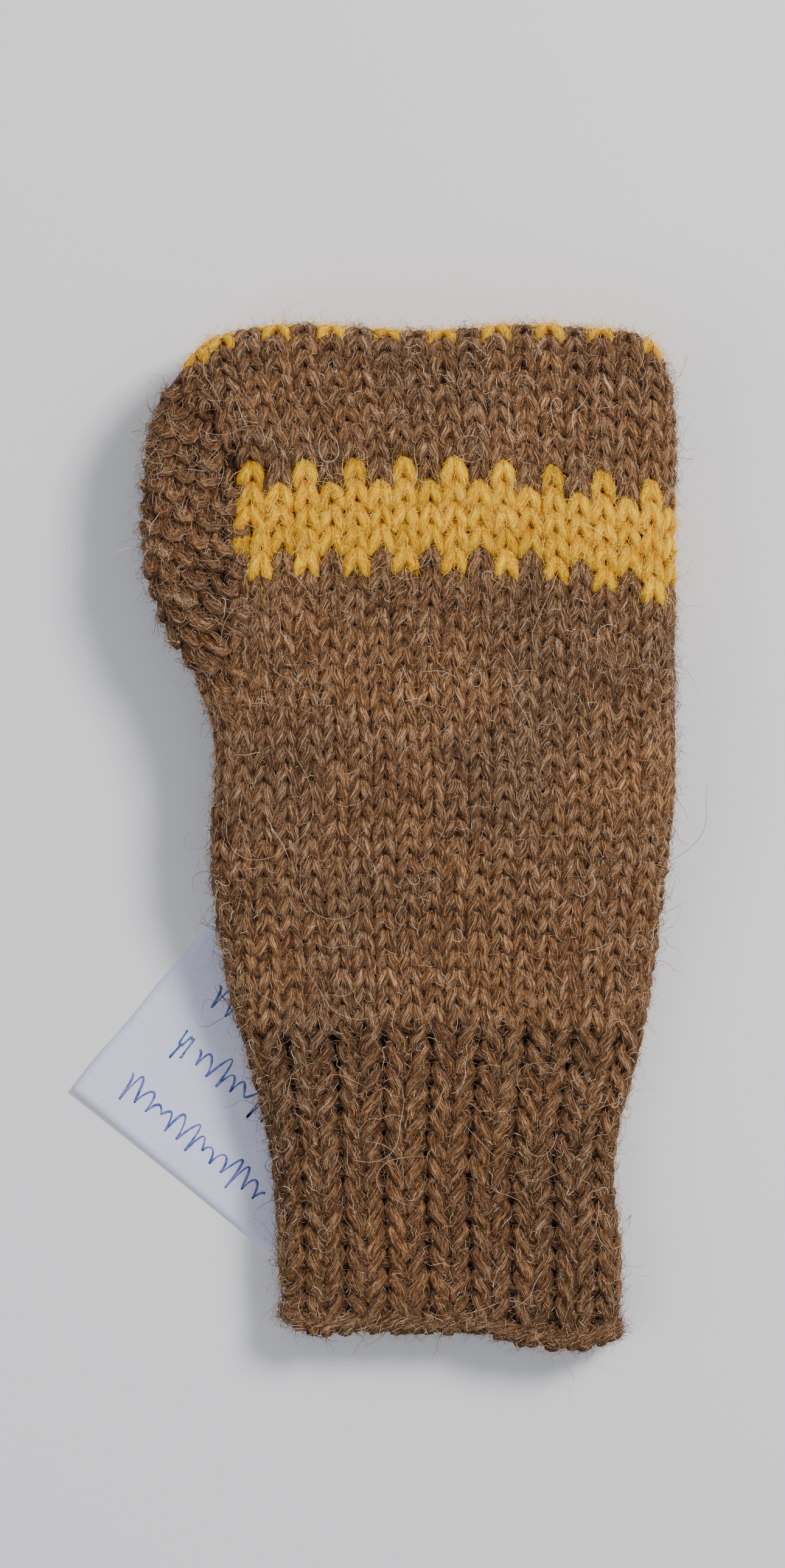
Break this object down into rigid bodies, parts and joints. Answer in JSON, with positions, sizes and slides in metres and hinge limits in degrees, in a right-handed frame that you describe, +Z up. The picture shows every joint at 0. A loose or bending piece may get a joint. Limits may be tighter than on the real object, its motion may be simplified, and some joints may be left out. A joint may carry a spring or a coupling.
{
  "type": "knitted mitten",
  "caption": "Long knitted wool mitten with ribbed cuff and thumb gusset, lying flat, its finger end folded behind the hand.",
  "frame": {"origin": "middle of the footprint of the lying mitten and its slip, on the surface it lies on", "axes": "+Y from the cuff towards the folded finger end, +X towards the side away from the thumb, +Z up"},
  "size_m": [0.1412, 0.2336, 0.0244],
  "materials": {
    "brown_wool": "fuzzy unspun wool, matte",
    "yellow_wool": "fuzzy unspun wool, matte",
    "paper": "plain uncoated memo paper, matte"
  },
  "bodies": {
    "hand": {"bound_off_edge": "brown_wool", "ribbed_cuff": "brown_wool", "wrist_section": "brown_wool", "palm_section": "brown_wool", "first_yellow_band": "yellow_wool", "lower_float_strand": "brown_wool", "upper_float_strand": "brown_wool", "bound_off_tail": "brown_wool", "yellow_start_tail": "yellow_wool", "yellow_end_tail": "yellow_wool", "knuckle_section": "brown_wool", "thumb_gusset": "brown_wool"},
    "fold_strip": {"second_band_outer_layer": "yellow_wool", "second_band_inner_layer": "yellow_wool"},
    "fingers": {"fingers_section": "brown_wool", "fingertip_cap": "brown_wool", "fingertip_closing_thread": "brown_wool"},
    "thumb_root": {"thumb_base": "brown_wool"},
    "thumb": {"thumb_tube": "brown_wool", "thumb_tip": "brown_wool", "thumb_closing_thread": "brown_wool"},
    "slip": {"paper_slip": "paper"}
  },
  "joints": [
    {"name": "tip_fold_upper", "type": "hinge", "parent": "hand", "child": "fold_strip", "pos_m": [0.01768, 0.11546, 0.02311], "axis": [1, 0, 0], "range_deg": [0, 90]},
    {"name": "tip_fold_lower", "type": "hinge", "parent": "fold_strip", "child": "fingers", "pos_m": [0.01768, 0.11546, 0.00129], "axis": [1, 0, 0], "range_deg": [0, 90]},
    {"name": "thumb_fold_lower", "type": "hinge", "parent": "fold_strip", "child": "thumb_root", "pos_m": [0.01768, 0.11546, 0.00129], "axis": [1, 0, 0], "range_deg": [0, 90]},
    {"name": "thumb_spread", "type": "hinge", "parent": "thumb_root", "child": "thumb", "pos_m": [-0.04332, 0.0951, 0.0055], "axis": [0, 0, -1], "range_deg": [0, 35]},
    {"name": "slip_slide", "type": "slide", "parent": "hand", "child": "slip", "axis": [-1, 0, 0], "range_m": [0, 0.09]}
  ],
  "couplings": [
    {"joint": "tip_fold_lower", "follows": "tip_fold_upper", "ratio": 1},
    {"joint": "thumb_fold_lower", "follows": "tip_fold_upper", "ratio": 1}
  ]
}
